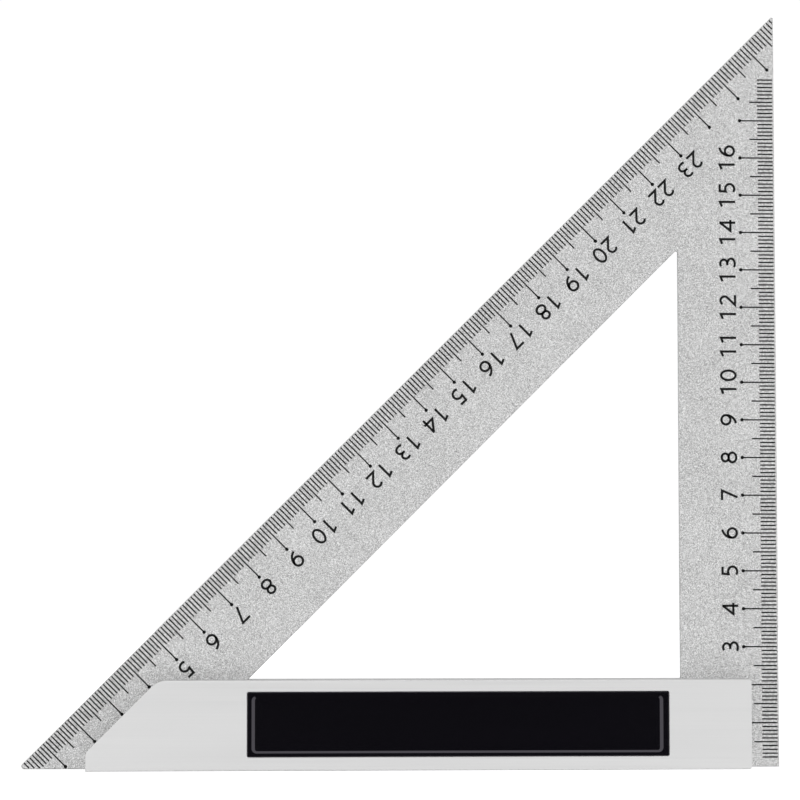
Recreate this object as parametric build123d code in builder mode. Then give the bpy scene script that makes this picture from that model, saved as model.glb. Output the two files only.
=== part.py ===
"""Speed square: a triangular steel blade with a window, held between two aluminium handle cheeks.

The square stands on its handle. X runs along the handle towards the heel, where the upright edge
of the blade is, Y is the depth, and +Z is up. The origin is the middle of the bounding box's base.
The thin end of the handle, under the sharp corner of the blade, is its toe. All sizes are in
millimetres.
"""

from build123d import *
import math
import os

# Blade
leg_length = 200.0  # from the sharp corner to each of the blade's square edges
blade_thickness = 1.2
arm_width = 26.1  # of the upright arm and of the slanted arm
blade_lift = 0.25  # the blade's lower edge is this far above the handle's base
toe_tip_radius = 0.8  # at the sharp corner by the handle's toe
top_tip_radius = 0.4  # at the sharp corner above the heel
window_radius = 0.4
window_overlap = 1.5  # how far the window runs down behind the cheeks
edge_break = 0.15

# Handle, which is two cheeks with the blade between them
handle_height = 23.4
handle_thickness = 16.0
toe_setback = 18.1  # from the blade's sharp corner to the handle's toe
heel_setback = 8.4  # from the handle's heel to the blade's upright edge
scale_border = 9.6  # width of the slanted edge that the handle leaves free for the scale
toe_radius = 2.0
shoulder_radius = 6.0
heel_radius = 0.8  # of the outline's two corners at the heel
cheek_edge_radius = 0.2
seat_gap = 0.05  # film of adhesive between the blade and each cheek

# Pocket in each cheek, and the insert that fills it
pocket_from_toe = 41.7
pocket_from_heel = 21.7
pocket_from_base = 3.5
pocket_from_top = 3.05
pocket_depth = 2.4
pocket_corner_radius = 0.5
pocket_chamfer = 0.1
insert_clearance = 0.1  # all round the insert
insert_sink = 0.1  # from the cheek's face down to the insert's face
insert_bed = 0.1  # layer of adhesive behind the insert
insert_edge_radius = 0.1
field_toe_inset = 1.1  # from the insert's edge by the toe to its sunken field
field_heel_inset = 1.5  # from the insert's edge by the heel to the field
field_side_inset = 0.9  # from the insert's long edges to the field
field_end_wall = 0.85  # width of the field's sloping wall at each end
field_side_wall = 0.55  # width of the field's sloping wall along each side
field_depth = 0.4
field_corner_radius = 1.3
field_floor_radius = 0.6

# Rivets through the cheeks and the blade, under the inserts
rivet_count = 3
rivet_radius = 2.0
rivet_head_radius = 3.8
rivet_from_pocket_end = 15.0
rivet_clearance = 0.05

# Places that follow from the sizes above
tip_recess = toe_tip_radius * (1 / math.tan(math.radians(22.5)) - 1)
upright_x = (leg_length - tip_recess) / 2
corner_x = upright_x - leg_length
blade_top = blade_lift + leg_length

toe_x = corner_x + toe_setback
heel_x = upright_x - heel_setback
slope_shift = scale_border * math.sqrt(2)
toe_height = toe_setback - slope_shift + blade_lift
shoulder_x = corner_x + slope_shift + handle_height - blade_lift

window_floor = handle_height - window_overlap
window_x = upright_x - arm_width
window_shift = arm_width * math.sqrt(2)
window_corner_x = corner_x + window_shift + window_floor - blade_lift
window_top = window_x - corner_x - window_shift + blade_lift

cheek_inner = blade_thickness / 2 + seat_gap
cheek_outer = handle_thickness / 2
cheek_thickness = cheek_outer - cheek_inner
pocket_floor = cheek_outer - pocket_depth
pocket_length = heel_x - pocket_from_heel - toe_x - pocket_from_toe
pocket_height = handle_height - pocket_from_base - pocket_from_top
pocket_x = toe_x + pocket_from_toe + pocket_length / 2
pocket_z = pocket_from_base + pocket_height / 2

insert_face = cheek_outer - insert_sink
insert_thickness = pocket_depth - insert_sink - insert_bed
insert_length = pocket_length - 2 * insert_clearance
insert_height = pocket_height - 2 * insert_clearance
field_length = insert_length - field_toe_inset - field_heel_inset
field_height = insert_height - 2 * field_side_inset
floor_length = field_length - 2 * field_end_wall
floor_height = field_height - 2 * field_side_wall
field_x = pocket_x + (field_toe_inset - field_heel_inset) / 2
rivet_spacing = (pocket_length - 2 * rivet_from_pocket_end) / (rivet_count - 1)
countersink_radius = rivet_head_radius + rivet_clearance


# Planes that face the viewer in front of the square, at a depth from its middle plane
def front_plane(depth, x=0.0, z=0.0):
    return Plane(origin=(x, -depth, z), x_dir=(1, 0, 0), z_dir=(0, -1, 0))


# Blade: a right triangle with a triangular window whose lower arm hides between the cheeks
with BuildPart() as blade:
    with BuildSketch(front_plane(0)):
        with BuildLine():
            FilletPolyline(
                (corner_x, blade_lift),
                (upright_x, blade_lift),
                (upright_x, blade_top),
                radius=(toe_tip_radius, 0, top_tip_radius),
                close=True,
            )
        make_face()
        with BuildLine():
            FilletPolyline(
                (window_corner_x, window_floor),
                (window_x, window_floor),
                (window_x, window_top),
                radius=window_radius,
                close=True,
            )
        make_face(mode=Mode.SUBTRACT)
    extrude(amount=blade_thickness / 2, both=True)
    blade_faces = blade.faces().filter_by(Axis.Y).edges()
    chamfer(blade_faces, edge_break)
    with Locations(front_plane(0, pocket_x, pocket_z)):
        with GridLocations(rivet_spacing, 1, rivet_count, 1):
            Cylinder(rivet_radius + rivet_clearance, blade_thickness, mode=Mode.SUBTRACT)
blade.part.label = "blade"

# Front cheek: the toe rises upright, then slopes parallel to the blade's slanted edge
with BuildPart() as front_cheek:
    with BuildSketch(front_plane(cheek_inner)):
        with BuildLine():
            FilletPolyline(
                (toe_x, 0),
                (heel_x, 0),
                (heel_x, handle_height),
                (shoulder_x, handle_height),
                (toe_x, toe_height),
                radius=(0, heel_radius, heel_radius, shoulder_radius, toe_radius),
                close=True,
            )
        make_face()
    extrude(amount=cheek_thickness)
    outer_edges = front_cheek.faces().sort_by(Axis.Y)[0].edges()
    fillet(outer_edges, cheek_edge_radius)

    # Pocket for the insert, with a fine chamfer round its mouth
    with BuildSketch(front_plane(cheek_outer, pocket_x, pocket_z)):
        RectangleRounded(pocket_length, pocket_height, pocket_corner_radius)
    extrude(amount=-pocket_depth, mode=Mode.SUBTRACT)
    pocket_mouth = front_cheek.faces().sort_by(Axis.Y)[0].inner_wires().edges()
    chamfer(pocket_mouth, pocket_chamfer)

    # Countersunk rivet holes in the floor of the pocket
    with Locations(front_plane(pocket_floor, pocket_x, pocket_z)):
        with GridLocations(rivet_spacing, 1, rivet_count, 1):
            CounterSinkHole(
                rivet_radius + rivet_clearance,
                countersink_radius,
                depth=pocket_floor - cheek_inner,
                counter_sink_angle=90,
            )
front_cheek.part.label = "front_cheek"

# Front insert: a moulded plate with a shallow field that has sloping walls
with BuildPart() as front_insert:
    with BuildSketch(front_plane(insert_face, pocket_x, pocket_z)):
        insert_corner = pocket_corner_radius - insert_clearance
        RectangleRounded(insert_length, insert_height, insert_corner)
    extrude(amount=-insert_thickness)
    insert_rim = front_insert.faces().sort_by(Axis.Y)[0].edges()
    fillet(insert_rim, insert_edge_radius)
    with BuildSketch(front_plane(insert_face, field_x, pocket_z)):
        RectangleRounded(field_length, field_height, field_corner_radius)
    with BuildSketch(front_plane(insert_face - field_depth, field_x, pocket_z)):
        RectangleRounded(floor_length, floor_height, field_floor_radius)
    loft(mode=Mode.SUBTRACT)
front_insert.part.label = "front_insert"

# The back cheek and the back insert mirror the front ones in the blade's plane
with BuildPart() as back_cheek:
    mirror(front_cheek.part, about=Plane.XZ)
back_cheek.part.label = "back_cheek"

with BuildPart() as back_insert:
    mirror(front_insert.part, about=Plane.XZ)
back_insert.part.label = "back_insert"

# One rivet about its own axis: a shank with a countersunk head, level with the pocket's floor, at
# each end
with BuildPart() as rivet:
    with BuildSketch(Plane.XZ):
        with BuildLine():
            neck = pocket_floor - (rivet_head_radius - rivet_radius)
            Polyline(
                (0, -pocket_floor),
                (rivet_head_radius, -pocket_floor),
                (rivet_radius, -neck),
                (rivet_radius, neck),
                (rivet_head_radius, pocket_floor),
                (0, pocket_floor),
                close=True,
            )
        make_face()
    revolve(axis=Axis.Z)

with BuildPart() as rivets:
    with Locations(front_plane(0, pocket_x, pocket_z)):
        with GridLocations(rivet_spacing, 1, rivet_count, 1):
            add(rivet.part)
rivets.part.label = "rivets"

os.makedirs("parts", exist_ok=True)
for piece in (blade, front_cheek, back_cheek, front_insert, back_insert, rivets):
    export_step(piece.part, f"parts/{piece.part.label}.step")
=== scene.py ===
"""Looks of a speed square: granular steel blade with printed scales, aluminium handle, black inserts.

Everything is in metres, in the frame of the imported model: X along the handle, +Z up, and the front
of the square faces -Y.
"""

import math
from dataclasses import dataclass

import bmesh
import bpy
from mathutils import Matrix, Vector


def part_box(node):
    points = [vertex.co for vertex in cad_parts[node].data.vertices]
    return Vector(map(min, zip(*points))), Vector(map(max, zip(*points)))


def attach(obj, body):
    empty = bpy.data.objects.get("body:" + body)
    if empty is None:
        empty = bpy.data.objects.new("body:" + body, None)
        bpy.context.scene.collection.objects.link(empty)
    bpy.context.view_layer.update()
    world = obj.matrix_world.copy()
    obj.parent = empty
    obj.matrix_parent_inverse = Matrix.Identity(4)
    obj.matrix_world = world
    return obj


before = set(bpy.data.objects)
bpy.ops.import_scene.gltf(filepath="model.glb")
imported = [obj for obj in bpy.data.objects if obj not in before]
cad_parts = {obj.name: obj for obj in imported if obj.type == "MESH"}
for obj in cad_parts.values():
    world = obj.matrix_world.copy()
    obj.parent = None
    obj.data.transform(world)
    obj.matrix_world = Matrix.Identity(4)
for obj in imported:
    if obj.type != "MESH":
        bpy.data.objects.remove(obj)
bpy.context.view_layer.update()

MM = 0.001

# The blade's square edges meet its slanted edge in sharp corners, before those are rounded
LEG = 200 * MM
BLADE_LOW, BLADE_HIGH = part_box("blade")
SQUARE_CORNER = Vector((BLADE_HIGH[0], 0, BLADE_LOW[2]))
TOE_CORNER = SQUARE_CORNER - Vector((LEG, 0, 0))
BLADE_FACE = BLADE_HIGH[1]

# Printed marks
INK_THICKNESS = 0.03 * MM
INK_SUNK = 0.01 * MM
LINE_WIDTH = 0.37 * MM
SHORT_LINE = 4.45 * MM
MEDIUM_LINE = 6.6 * MM
LONG_LINE = 9.2 * MM
DOT_RADIUS = 0.47 * MM
DOT_SIDES = 20
BARE_EDGE = 0.16 * MM  # the blade's broken edge, which takes no ink
SAME_MARK = 0.1  # two marks whose counts are closer than this are the same one

# Printed numbers
MARKS_PER_NUMBER = 10
NUMBER_HEIGHT = 4.5 * MM
NUMBER_STROKE = 0.63 * MM
NUMBER_PITCH = 3.66 * MM  # from one digit's middle to the next
NUMBER_BASE = 10.5 * MM  # from the blade's edge to the foot of a number
ARC_STEP = 9.0  # degrees between two points of an arc
MITRE_LIMIT = 0.4  # keeps the mitre of a stroke's sharpest corner short

# Surrounding light: its strength, the way to a dark flag round the lens as the front of the handle
# mirrors it, and the way to a soft shade behind the square as the handle's upper edge mirrors it
LIGHT_STRENGTH = 1.835
BACKDROP_STRENGTH = 1.02
FLAG = Vector((0.07, -1.0, -0.042)).normalized()
SHADE = Vector((-0.2, 1.0, 0.25)).normalized()

# Floor, just under the handle
FLOOR_REACH = 3.0
FLOOR_LEVEL = -0.05 * MM
FLOOR_GLOW = 0.90

# Lens: the point it looks at, its distance from there, and the turn of its view in degrees
LENS_AIM = Vector((-0.59 * MM, 0, 96.84 * MM))
LENS_DISTANCE = 800 * MM
LENS_TURN = 2.913
LENS_TILT = 3.658
LENS_ROLL = 0.046
FOCAL_LENGTH = 136.29  # in millimetres, as is the sensor's width
SENSOR_WIDTH = 36.0


# ---------------------------------------------------------------- node helpers


def add_node(tree, kind, inputs=None, **settings):
    """A node with its settings, its inputs linked to a socket or set to a value."""
    node = tree.nodes.new(kind)
    for name, value in settings.items():
        setattr(node, name, value)
    for key, value in (inputs or {}).items():
        if isinstance(value, bpy.types.NodeSocket):
            tree.links.new(value, node.inputs[key])
        else:
            node.inputs[key].default_value = value
    return node


def calc(tree, operation, first, second=0.0, third=0.0):
    """The result of one math operation."""
    inputs = {0: first, 1: second, 2: third}
    return add_node(tree, "ShaderNodeMath", inputs, operation=operation).outputs[0]


def graded(tree, value, gain, base):
    """The value times a gain, plus a base."""
    return calc(tree, "MULTIPLY_ADD", value, gain, base)


def ramp(tree, value, stops):
    """A ramp over grey levels or colours, given as (place, colour) stops."""
    node = add_node(tree, "ShaderNodeValToRGB", {"Fac": value})
    elements = node.color_ramp.elements
    while len(elements) < len(stops):
        elements.new(0.5)
    for element, (place, colour) in zip(elements, stops):
        element.position = place
        rgb = (colour, colour, colour) if isinstance(colour, float) else colour
        element.color = (*rgb, 1)
    return node.outputs["Color"]


def mix(tree, share, first, second, blend_type="MIX"):
    """Two colours, mixed or multiplied."""
    inputs = {"Factor": share, "A": first, "B": second}
    node = add_node(tree, "ShaderNodeMix", inputs, data_type="RGBA", blend_type=blend_type)
    return node.outputs["Result"]


def vector(tree, x, y, z):
    """A vector put together from three values."""
    return add_node(tree, "ShaderNodeCombineXYZ", {0: x, 1: y, 2: z}).outputs[0]


def agreement(tree, way, direction):
    """How closely a way agrees with a direction, from -1 to 1."""
    inputs = {0: way, 1: direction}
    return add_node(tree, "ShaderNodeVectorMath", inputs, operation="DOT_PRODUCT").outputs["Value"]


# ---------------------------------------------------------------- materials


def new_material(name):
    """A material with one Principled shader, and the object's own coordinates."""
    material = bpy.data.materials.new(name)
    material.use_nodes = True
    tree = material.node_tree
    tree.nodes.clear()
    shader = add_node(tree, "ShaderNodeBsdfPrincipled")
    add_node(tree, "ShaderNodeOutputMaterial", {"Surface": shader.outputs[0]})
    place = add_node(tree, "ShaderNodeTexCoord").outputs["Object"]
    return material, tree, shader, place


def stretched(tree, place, scale):
    """Coordinates multiplied by one factor along each axis."""
    return add_node(tree, "ShaderNodeMapping", {"Vector": place, "Scale": scale}).outputs[0]


def noise(tree, place, scale, detail=2.0, roughness=0.5):
    """A cloudy pattern between 0 and 1."""
    inputs = {"Vector": place, "Scale": scale, "Detail": detail, "Roughness": roughness}
    return add_node(tree, "ShaderNodeTexNoise", inputs).outputs["Fac"]


def relief(tree, height, strength, depth):
    """Surface normals that follow a pattern of heights."""
    inputs = {"Height": height, "Strength": strength, "Distance": depth}
    return add_node(tree, "ShaderNodeBump", inputs).outputs[0]


def coat(tree, shader, colour, rough, normal):
    """Links the patterns of a finish to its shader."""
    tree.links.new(colour, shader.inputs["Base Color"])
    tree.links.new(rough, shader.inputs["Roughness"])
    tree.links.new(normal, shader.inputs["Normal"])


def granular_steel():
    """Satin stainless steel with a fine dark and light grain."""
    material, tree, shader, place = new_material("granular_steel")
    grain = noise(tree, place, 5600.0, detail=1.0, roughness=0.6)
    fine = noise(tree, place, 11000.0, detail=0.0)
    cloud = noise(tree, place, 60.0, detail=3.0)
    speckle = graded(tree, fine, 0.35, calc(tree, "MULTIPLY", grain, 0.65))
    tint = graded(tree, cloud, 0.05, speckle)
    coat(
        tree, shader,
        colour=ramp(tree, tint, ((0.36, 0.22), (0.50, 0.505), (0.64, 0.88))),
        rough=graded(tree, grain, gain=-0.20, base=0.66),
        normal=relief(tree, speckle, strength=0.25, depth=0.02 * MM),
    )
    shader.inputs["Metallic"].default_value = 1.0
    return material


def drawn_aluminium():
    """Extruded aluminium, even and satin, with hairlines along its length."""
    material, tree, shader, place = new_material("drawn_aluminium")
    hairline = noise(tree, stretched(tree, place, (14, 1400, 2600)), 1.0, detail=3.0, roughness=0.6)
    streak = noise(tree, stretched(tree, place, (6, 160, 260)), 1.0)
    cloud = noise(tree, place, 35.0)
    lines = graded(tree, streak, 0.4, calc(tree, "MULTIPLY", hairline, 0.6))
    tint = graded(tree, cloud, 0.15, lines)
    coat(
        tree, shader,
        colour=ramp(tree, tint, ((0.35, 0.690), (0.75, 0.722))),
        rough=graded(tree, hairline, gain=0.16, base=0.36),
        normal=relief(tree, hairline, strength=0.12, depth=0.01 * MM),
    )
    shader.inputs["Metallic"].default_value = 1.0
    return material


def moulded_black():
    """Black moulded plastic with a slight sheen and a barely visible skin texture."""
    material, tree, shader, place = new_material("moulded_black")
    skin = noise(tree, place, 2600.0)
    flow = noise(tree, stretched(tree, place, (18, 90, 60)), 1.0)
    tint = graded(tree, flow, 0.7, calc(tree, "MULTIPLY", skin, 0.3))
    dark, light = (0.0021, 0.0018, 0.0038), (0.0031, 0.0026, 0.0054)
    coat(
        tree, shader,
        colour=ramp(tree, tint, ((0.3, dark), (0.7, light))),
        rough=graded(tree, skin, gain=0.06, base=0.08),
        normal=relief(tree, skin, strength=0.06, depth=0.01 * MM),
    )
    shader.inputs["IOR"].default_value = 1.55
    shader.inputs["Specular IOR Level"].default_value = 0.85
    shader.inputs["Specular Tint"].default_value = (0.93, 0.88, 1.0, 1.0)
    return material


def printed_ink():
    """Black printing ink, slightly uneven where it lies on the grain."""
    material, tree, shader, place = new_material("printed_ink")
    patch = noise(tree, place, 3000.0)
    coat(
        tree, shader,
        colour=ramp(tree, patch, ((0.3, 0.002), (0.75, 0.010))),
        rough=graded(tree, patch, gain=0.2, base=0.5),
        normal=relief(tree, patch, strength=0.10, depth=0.005 * MM),
    )
    shader.inputs["Specular IOR Level"].default_value = 0.2
    return material


def turned_steel():
    """Plain steel of the rivets, with faint marks round each rivet's axis."""
    material, tree, shader, place = new_material("turned_steel")
    marks = noise(tree, stretched(tree, place, (900, 4000, 900)), 1.0)
    coat(
        tree, shader,
        colour=ramp(tree, marks, ((0.3, 0.42), (0.7, 0.58))),
        rough=graded(tree, marks, gain=0.2, base=0.3),
        normal=relief(tree, marks, strength=0.1, depth=0.01 * MM),
    )
    shader.inputs["Metallic"].default_value = 1.0
    return material


def dress(node_name, material):
    """Gives one CAD node its material."""
    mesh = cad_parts[node_name].data
    mesh.materials.clear()
    mesh.materials.append(material)


INK = printed_ink()
ALUMINIUM = drawn_aluminium()
PLASTIC = moulded_black()
dress("blade", granular_steel())
dress("rivets", turned_steel())
for side in ("front", "back"):
    dress(f"{side}_cheek", ALUMINIUM)
    dress(f"{side}_insert", PLASTIC)


# ---------------------------------------------------------------- printed scales


@dataclass
class Scale:
    """The scale along one edge of the blade, on one of its faces."""

    corner: Vector  # the blade's corner that the scale counts from
    along: Vector  # along the edge, away from that corner
    inward: Vector  # from the edge into the blade
    outward: Vector  # out of the face
    edge: float  # the edge's length
    corner_room: float  # spare room for the first lines, where the corner isn't a sharp one
    line_gap: float  # from the edge to the lines
    zero: float  # from the corner to the zero mark, which isn't printed
    pitch: float
    growth: float  # of the pitch, with each mark
    first: int  # the first and the last mark that are printed
    last: int
    last_dot: int  # the last number whose place has a long line and a dot
    numbers: range  # the numbers that are printed

    @property
    def reading(self):
        """The way that the numbers read."""
        return self.inward.cross(self.outward)

    @property
    def direction(self):
        """1 where the marks count up the way that the numbers read, and -1 where they count down."""
        return 1.0 if self.reading.dot(self.along) > 0 else -1.0

    def matrix(self):
        """From the scale's own axes (reading, inward, outward) to the row frame."""
        turn = Matrix((self.reading, self.inward, self.outward)).transposed().to_4x4()
        return Matrix.Translation(self.corner + self.outward * BLADE_FACE) @ turn

    def place(self, mark):
        """Where a mark lies on the reading axis."""
        return self.direction * (self.zero + mark * (self.pitch + mark * self.growth))


def scales_on(outward):
    """The upright edge's scale and the slanted edge's scale on the face that looks outward."""
    upright_scale = Scale(
        corner=SQUARE_CORNER, along=Vector((0, 0, 1)), inward=Vector((-1, 0, 0)), outward=outward,
        edge=LEG, corner_room=LEG, line_gap=0.38 * MM,
        zero=1.5 * MM, pitch=1.0 * MM, growth=0.0,
        first=1, last=181, last_dot=17, numbers=range(3, 17),
    )
    slanted_scale = Scale(
        corner=TOE_CORNER, along=Vector((1, 0, 1)).normalized(),
        inward=Vector((1, 0, -1)).normalized(), outward=outward,
        edge=LEG * math.sqrt(2), corner_room=0.0, line_gap=0.22 * MM,
        zero=-0.50 * MM, pitch=0.9854 * MM, growth=0.0002285 * MM,
        first=3, last=269, last_dot=26, numbers=range(5, 24),
    )
    return upright_scale, slanted_scale


def set_out(tree, points, places, shape, extra):
    """A copy of the shape on each point, once the points are in their places."""
    moved = add_node(tree, "GeometryNodeSetPosition", {"Geometry": points, "Position": places})
    inputs = {"Points": moved.outputs[0], "Instance": shape, **extra}
    return add_node(tree, "GeometryNodeInstanceOnPoints", inputs).outputs[0]


def graduation_tree():
    """Geometry nodes: lines of three lengths along an edge, the long ones with a dot each."""
    tree = bpy.data.node_groups.new("graduations", "GeometryNodeTree")
    interface = tree.interface
    for name in ("First Mark", "Last Mark", "Last Dot"):
        interface.new_socket(name, in_out="INPUT", socket_type="NodeSocketInt")
    for name in (
        "Direction", "Zero", "Pitch", "Pitch Growth", "Edge Length", "Corner Room", "Bare Edge",
        "Line Width", "Line Gap", "Short Line", "Medium Line", "Long Line", "Dot Radius", "Thickness",
    ):
        interface.new_socket(name, in_out="INPUT", socket_type="NodeSocketFloat")
    interface.new_socket("Ink", in_out="INPUT", socket_type="NodeSocketMaterial")
    interface.new_socket("Geometry", in_out="OUTPUT", socket_type="NodeSocketGeometry")
    size = add_node(tree, "NodeGroupInput").outputs

    # One point for each mark, then the mark's number and its place along the edge
    count = calc(tree, "ADD", calc(tree, "SUBTRACT", size["Last Mark"], size["First Mark"]), 1.0)
    points = add_node(tree, "GeometryNodeMeshLine", {"Count": count}).outputs[0]
    index = add_node(tree, "GeometryNodeInputIndex").outputs[0]
    mark = calc(tree, "ADD", index, size["First Mark"])
    step = graded(tree, mark, size["Pitch Growth"], size["Pitch"])
    along = graded(tree, mark, step, size["Zero"])
    reading = calc(tree, "MULTIPLY", along, size["Direction"])

    # Lines are long with a dot at each number's place, and medium halfway between two of them
    past_number = calc(tree, "MODULO", mark, MARKS_PER_NUMBER)
    has_dot = calc(
        tree, "MULTIPLY",
        calc(tree, "COMPARE", past_number, 0.0, SAME_MARK),
        calc(tree, "LESS_THAN", mark, graded(tree, size["Last Dot"], MARKS_PER_NUMBER, SAME_MARK)),
    )
    is_halfway = calc(tree, "COMPARE", past_number, MARKS_PER_NUMBER / 2, SAME_MARK)
    extra_medium = calc(tree, "SUBTRACT", size["Medium Line"], size["Short Line"])
    extra_long = calc(tree, "SUBTRACT", size["Long Line"], size["Short Line"])
    length = graded(tree, is_halfway, extra_medium, size["Short Line"])
    length = graded(tree, has_dot, extra_long, length)

    # Near a sharp corner the other edge, at 45 degrees, cuts the lines short
    room = calc(
        tree, "MINIMUM",
        calc(tree, "ADD", along, size["Corner Room"]),
        calc(tree, "SUBTRACT", size["Edge Length"], along),
    )
    diagonal = math.sqrt(2)
    half_width = calc(tree, "MULTIPLY", size["Line Width"], 0.5)
    dot_reach = calc(tree, "MULTIPLY", size["Dot Radius"], diagonal)
    extra_reach = calc(tree, "SUBTRACT", dot_reach, half_width)
    reach = graded(tree, has_dot, extra_reach, half_width)
    kept_free = graded(tree, size["Bare Edge"], diagonal, reach)
    length = calc(tree, "MINIMUM", length, calc(tree, "SUBTRACT", room, kept_free))

    # A flat bar on each point, and a dot on the inner end of each long one
    half = calc(tree, "MULTIPLY", size["Thickness"], 0.5)
    line_length = calc(tree, "SUBTRACT", length, size["Line Gap"])
    line_middle = graded(tree, line_length, 0.5, size["Line Gap"])
    line_size = vector(tree, size["Line Width"], line_length, size["Thickness"])
    line = add_node(tree, "GeometryNodeMeshCube", {"Size": (1, 1, 1)}).outputs[0]
    dot = add_node(
        tree, "GeometryNodeMeshCylinder",
        {"Vertices": DOT_SIDES, "Radius": size["Dot Radius"], "Depth": size["Thickness"]},
    ).outputs[0]
    lines = set_out(tree, points, vector(tree, reading, line_middle, half), line, {"Scale": line_size})
    dots = set_out(tree, points, vector(tree, reading, length, half), dot, {"Selection": has_dot})
    joined = add_node(tree, "GeometryNodeJoinGeometry")
    tree.links.new(lines, joined.inputs[0])
    tree.links.new(dots, joined.inputs[0])
    real = add_node(tree, "GeometryNodeRealizeInstances", {0: joined.outputs[0]})
    inked = add_node(
        tree, "GeometryNodeSetMaterial", {"Geometry": real.outputs[0], "Material": size["Ink"]}
    )
    add_node(tree, "NodeGroupOutput", {0: inked.outputs[0]})
    return tree


def graduations(scale, tree):
    """The lines and dots of one scale, as a plain mesh in the row frame."""
    sizes = {
        "First Mark": scale.first, "Last Mark": scale.last, "Last Dot": scale.last_dot,
        "Direction": scale.direction,
        "Zero": scale.zero, "Pitch": scale.pitch, "Pitch Growth": scale.growth,
        "Edge Length": scale.edge, "Corner Room": scale.corner_room,
        "Bare Edge": BARE_EDGE, "Line Width": LINE_WIDTH, "Line Gap": scale.line_gap,
        "Short Line": SHORT_LINE, "Medium Line": MEDIUM_LINE, "Long Line": LONG_LINE,
        "Dot Radius": DOT_RADIUS, "Thickness": INK_THICKNESS, "Ink": INK,
    }
    carrier = bpy.data.objects.new("carrier", bpy.data.meshes.new("carrier"))
    modifier = carrier.modifiers.new("graduations", "NODES")
    modifier.node_group = tree
    for socket in tree.interface.items_tree:
        if socket.in_out == "INPUT":
            modifier[socket.identifier] = sizes[socket.name]
    bpy.context.collection.objects.link(carrier)
    evaluated = carrier.evaluated_get(bpy.context.evaluated_depsgraph_get())
    mesh = bpy.data.meshes.new_from_object(evaluated)
    bpy.data.objects.remove(carrier)
    mesh.transform(scale.matrix() @ Matrix.Translation((0, 0, -INK_SUNK)))
    return mesh


# ---------------------------------------------------------------- printed numbers


def arc(x, y, width, height, start, end):
    """Points along an upright ellipse's arc, by its centre, half sizes and angles in degrees."""
    steps = max(2, round(abs(end - start) / ARC_STEP))
    angles = (math.radians(start + (end - start) * i / steps) for i in range(steps + 1))
    return [(x + width * math.cos(a), y + height * math.sin(a)) for a in angles]


def ring(x, y, width, height):
    """A closed ellipse, without its last point."""
    return arc(x, y, width, height, 0, 360)[:-1]


# Each digit is a few strokes: the middle line of each, on a field one unit high and centred on
# x = 0, and whether it is closed
DIGITS = {
    "0": ((ring(0, 0.5, 0.325, 0.5), True),),
    "1": (([(-0.33, 0.85), (0.0, 0.99), (0.0, -0.06)], False),),
    "2": ((arc(-0.02, 0.71, 0.28, 0.29, 150, -28) + [(-0.32, 0.0), (0.36, 0.0)], False),),
    "3": (
        (arc(-0.06, 0.755, 0.29, 0.245, 130, -78) + [(-0.16, 0.515)], False),
        ([(-0.16, 0.515)] + arc(-0.06, 0.255, 0.35, 0.26, 85, -130), False),
    ),
    "4": (
        ([(0.20, 1.0), (-0.36, 0.28), (0.40, 0.28)], False),
        ([(0.20, 1.05), (0.20, -0.06)], False),
    ),
    "5": (
        ([(0.28, 1.0), (-0.20, 1.0), (-0.23, 0.58)] + arc(-0.05, 0.31, 0.34, 0.31, 112, -128), False),
    ),
    "6": (
        (ring(0, 0.31, 0.32, 0.31), True),
        (arc(0.32, 0.31, 0.64, 0.69, 98, 180), False),
    ),
    "7": (([(-0.34, 1.0), (0.32, 1.0), (-0.14, -0.06)], False),),
    "8": (
        (ring(0, 0.755, 0.265, 0.245), True),
        (ring(0, 0.265, 0.33, 0.265), True),
    ),
    "9": (
        (ring(0, 0.69, 0.32, 0.31), True),
        (arc(-0.32, 0.69, 0.64, 0.69, 0, -82), False),
    ),
}


def stroke_sides(points, closed, half_width):
    """The two edges of a stroke, mitred at its corners."""
    left, right = [], []
    last = len(points) - 1
    for i, point in enumerate(points):
        before = points[i - 1] if (i or closed) else point
        after = points[(i + 1) % len(points)] if (i < last or closed) else point
        here = Vector(point)
        arrive = (here - Vector(before)).normalized()
        leave = (Vector(after) - here).normalized()
        if before is point:
            arrive = leave
        if after is point:
            leave = arrive
        mean = (arrive + leave).normalized()
        side = Vector((-mean.y, mean.x)) * half_width / max(mean.dot(leave), MITRE_LIMIT)
        left.append(here + side)
        right.append(here - side)
    return left, right


def add_stroke(work, points, closed, half_width, thickness, matrix):
    """Adds one stroke to the mesh as a thin closed plate."""
    left, right = stroke_sides(points, closed, half_width)

    def corners(side, depth):
        return [work.verts.new(matrix @ Vector((p.x, p.y, depth))) for p in side]

    left_low, right_low = corners(left, 0.0), corners(right, 0.0)
    left_top, right_top = corners(left, thickness), corners(right, thickness)
    count = len(points)
    for i in range(count if closed else count - 1):
        j = (i + 1) % count
        work.faces.new((right_top[i], right_top[j], left_top[j], left_top[i]))
        work.faces.new((left_low[i], left_low[j], right_low[j], right_low[i]))
        work.faces.new((right_low[i], right_low[j], right_top[j], right_top[i]))
        work.faces.new((left_low[j], left_low[i], left_top[i], left_top[j]))
    if not closed:
        work.faces.new((left_low[0], right_low[0], right_top[0], left_top[0]))
        work.faces.new((right_low[-1], left_low[-1], left_top[-1], right_top[-1]))


def add_number(work, number, scale):
    """Adds one number, centred on its mark, with its foot towards the blade's edge."""
    text = str(number)
    tall = NUMBER_HEIGHT - NUMBER_STROKE
    middle = scale.place(MARKS_PER_NUMBER * number)
    for i, digit in enumerate(text):
        shift = middle + (i - (len(text) - 1) / 2) * NUMBER_PITCH
        foot = Vector((shift, NUMBER_BASE + NUMBER_STROKE / 2, -INK_SUNK))
        matrix = scale.matrix() @ Matrix.Translation(foot)
        for line, closed in DIGITS[digit]:
            points = [(x * tall, y * tall) for x, y in line]
            add_stroke(work, points, closed, NUMBER_STROKE / 2, INK_THICKNESS, matrix)


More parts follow.
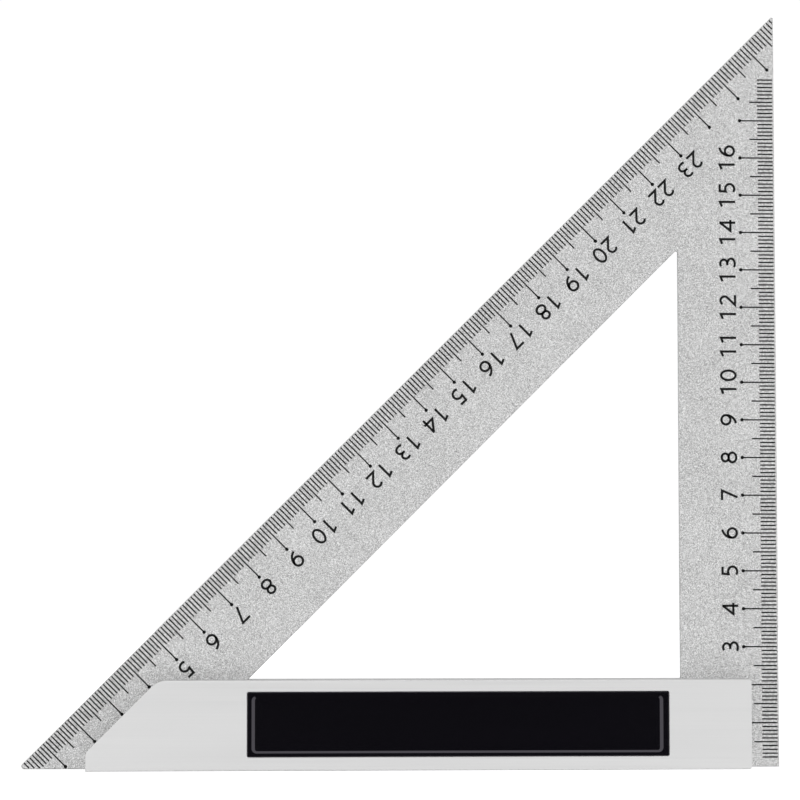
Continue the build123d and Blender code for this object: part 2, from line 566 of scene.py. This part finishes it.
def finish_piece(name, work):
    """Turns the working mesh into an inked piece that rides on the square."""
    mesh = bpy.data.meshes.new(name)
    work.to_mesh(mesh)
    work.free()
    mesh.materials.append(INK)
    piece = bpy.data.objects.new(name, mesh)
    bpy.context.collection.objects.link(piece)
    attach(piece, "root")


def print_face(side, outward, tree):
    """Prints both scales on one face: a piece of lines and dots, and a piece of numbers."""
    lines, numbers = bmesh.new(), bmesh.new()
    for scale in scales_on(outward):
        mesh = graduations(scale, tree)
        lines.from_mesh(mesh)
        bpy.data.meshes.remove(mesh)
        for number in scale.numbers:
            add_number(numbers, number, scale)
    finish_piece(f"{side}_graduations", lines)
    finish_piece(f"{side}_numbers", numbers)


GRADUATIONS = graduation_tree()
for side, outward_y in (("front", -1), ("back", 1)):
    print_face(side, Vector((0, outward_y, 0)), GRADUATIONS)


# ---------------------------------------------------------------- floor, light and camera


def pale_floor():
    """A plain white floor that glows a little, so that it stays as bright as the backdrop."""
    mesh = bpy.data.meshes.new("floor")
    outline = ((-1, -1), (1, -1), (1, 1), (-1, 1))
    corners = [(x * FLOOR_REACH, y * FLOOR_REACH, FLOOR_LEVEL) for x, y in outline]
    mesh.from_pydata(corners, [], [(0, 1, 2, 3)])
    floor = bpy.data.objects.new("floor", mesh)
    bpy.context.collection.objects.link(floor)
    material, tree, shader, place = new_material("white_paper")
    fibre = noise(tree, place, 400.0)
    tree.links.new(ramp(tree, fibre, ((0.3, 0.30), (0.7, 0.32))), shader.inputs["Base Color"])
    shader.inputs["Roughness"].default_value = 1.0
    shader.inputs["Specular IOR Level"].default_value = 0.0
    shader.inputs["Emission Color"].default_value = (1, 1, 1, 1)
    shader.inputs["Emission Strength"].default_value = FLOOR_GLOW
    mesh.materials.append(material)
    floor.visible_diffuse = False
    floor.visible_glossy = False


def studio_world():
    """White backdrop, and a surrounding light with a dark flag and a soft shade in it."""
    world = bpy.data.worlds.new("studio")
    bpy.context.scene.world = world
    world.use_nodes = True
    tree = world.node_tree
    tree.nodes.clear()
    way = add_node(tree, "ShaderNodeTexCoord").outputs["Generated"]
    axes = add_node(tree, "ShaderNodeSeparateXYZ", {0: way}).outputs

    # The light from the rim, and the light from the two open sides that the blade's faces look at
    height = graded(tree, axes["Z"], 0.5, 0.5)
    rim = ramp(tree, height, ((0.0, 0.15), (0.25, 0.80), (0.6, 0.85), (1.0, 0.65)))
    open_side = ramp(tree, height, ((0.05, 0.02), (0.13, 0.85)))
    facing = calc(tree, "ABSOLUTE", axes["Y"])
    light = mix(tree, ramp(tree, facing, ((0.12, 0.0), (0.30, 1.0))), rim, open_side)

    # The flag darkens the front and the back alike, and the shade only the back
    folded = vector(tree, axes["X"], calc(tree, "MULTIPLY", facing, -1.0), axes["Z"])
    flag_stops = ((0.72, 0.60), (0.90, 1.0), (0.972, 1.0), (0.982, 0.02))
    flag = ramp(tree, agreement(tree, folded, FLAG), flag_stops)
    shade = ramp(tree, agreement(tree, way, SHADE), ((0.70, 1.0), (0.95, 0.42)))
    for cut in (flag, shade):
        light = mix(tree, 1.0, light, cut, "MULTIPLY")

    lit = add_node(tree, "ShaderNodeBackground", {"Color": light, "Strength": LIGHT_STRENGTH})
    seen = add_node(
        tree, "ShaderNodeBackground", {"Color": (1, 1, 1, 1), "Strength": BACKDROP_STRENGTH}
    )
    direct = add_node(tree, "ShaderNodeLightPath").outputs["Is Camera Ray"]
    surface = add_node(tree, "ShaderNodeMixShader", {0: direct, 1: lit.outputs[0], 2: seen.outputs[0]})
    add_node(tree, "ShaderNodeOutputWorld", {"Surface": surface.outputs[0]})


def lens():
    """A long lens in front of the square, a little towards its toe and below its middle."""
    turn, tilt, roll = (math.radians(angle) for angle in (LENS_TURN, LENS_TILT, LENS_ROLL))
    way = Vector((math.sin(turn) * math.cos(tilt), math.cos(turn) * math.cos(tilt), math.sin(tilt)))
    data = bpy.data.cameras.new("lens")
    data.sensor_width = SENSOR_WIDTH
    data.lens = FOCAL_LENGTH
    data.clip_start = 0.01
    data.clip_end = 20.0
    camera = bpy.data.objects.new("lens", data)
    camera.matrix_world = (
        Matrix.Translation(LENS_AIM - way * LENS_DISTANCE)
        @ way.to_track_quat("-Z", "Y").to_matrix().to_4x4()
        @ Matrix.Rotation(-roll, 4, "Z")
    )
    bpy.context.collection.objects.link(camera)
    bpy.context.scene.camera = camera


pale_floor()
studio_world()
lens()
bpy.context.scene.view_settings.view_transform = "Standard"
